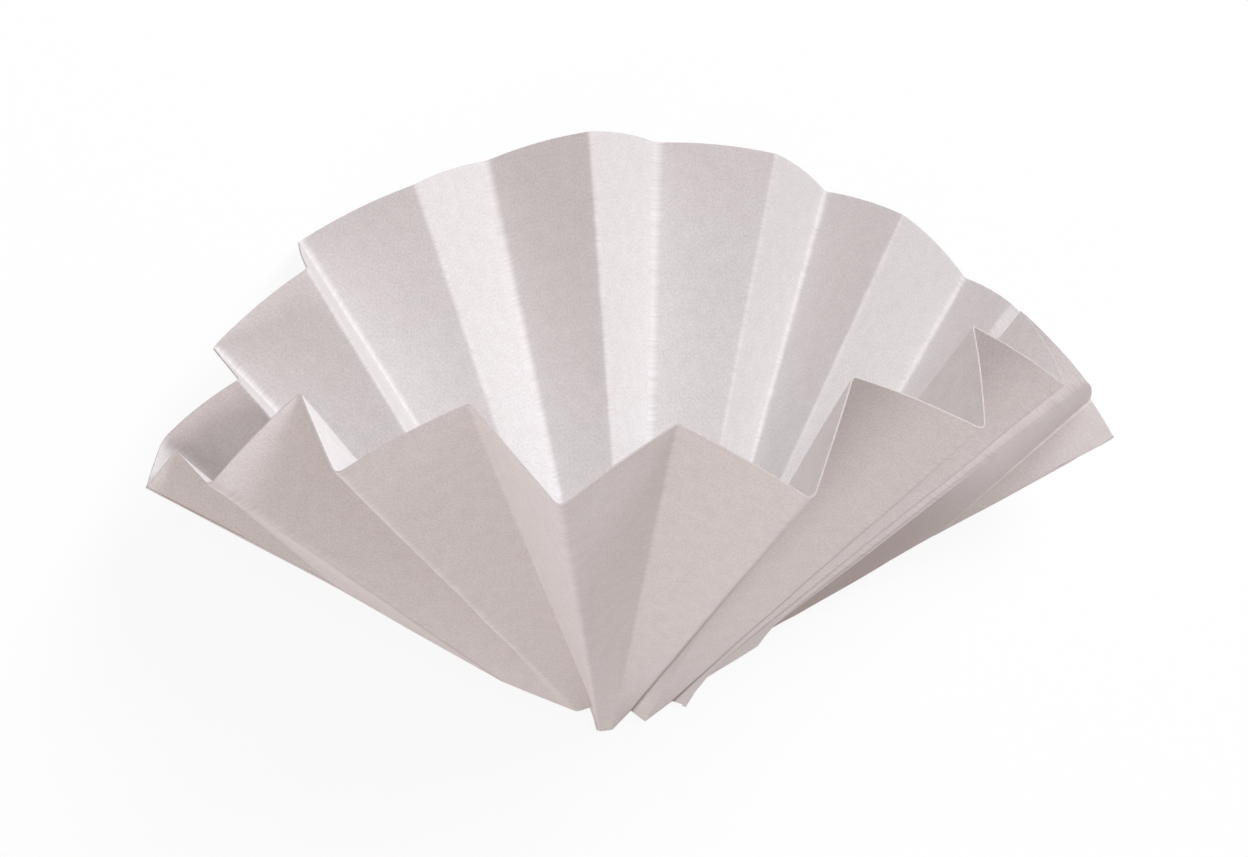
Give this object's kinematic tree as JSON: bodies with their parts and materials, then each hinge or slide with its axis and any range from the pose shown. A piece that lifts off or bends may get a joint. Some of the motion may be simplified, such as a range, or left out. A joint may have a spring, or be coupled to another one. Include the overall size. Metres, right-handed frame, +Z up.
{
  "type": "filter paper",
  "caption": "Round filter paper folded in half and pleated like a fan, a little opened and lying on its back, that lines a funnel.",
  "frame": {"origin": "middle of the length and depth, on the surface the paper lies on", "axes": "+X along the diameter fold's length, +Y from the diameter fold to the back layer's rim, +Z up"},
  "size_m": [0.1228, 0.0758, 0.0706],
  "materials": {
    "filter_paper": "matt soft uncoated paper"
  },
  "bodies": {
    "root": {"filter_paper": "filter_paper"}
  },
  "joints": []
}
